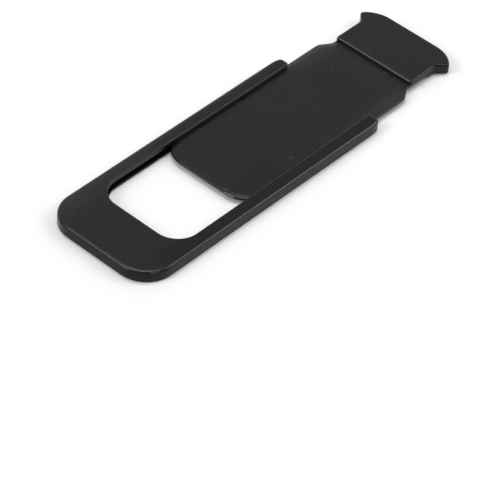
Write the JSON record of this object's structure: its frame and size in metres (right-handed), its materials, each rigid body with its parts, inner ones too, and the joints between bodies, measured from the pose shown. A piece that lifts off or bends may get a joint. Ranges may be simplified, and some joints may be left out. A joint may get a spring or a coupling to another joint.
{
  "type": "webcam cover slider",
  "caption": "Thin stick-on webcam cover: a rounded frame with a window and grooved side rails, and a shutter plate with a raised thumb tab that slides along them over the window.",
  "frame": {"origin": "middle of the clear window with the shutter open, on the plane the tape sticks to", "axes": "+X along the cover, the way the shutter slides open; +Z away from the screen, out of the cover's front; +Y across the cover"},
  "size_m": [0.0552, 0.016, 0.0015],
  "materials": {
    "charcoal_plastic": "satin moulded plastic, dark charcoal",
    "adhesive_tape": "thin double-sided acrylic tape, pale and slightly glossy"
  },
  "bodies": {
    "cover": {"frame": "charcoal_plastic", "left_adhesive_pad": "adhesive_tape", "right_adhesive_pad": "adhesive_tape"},
    "shutter": {"slider": "charcoal_plastic"}
  },
  "joints": [
    {"name": "shutter_slide", "type": "slide", "parent": "cover", "child": "shutter", "axis": [1, 0, 0], "range_m": [-0.0132, 0]}
  ]
}
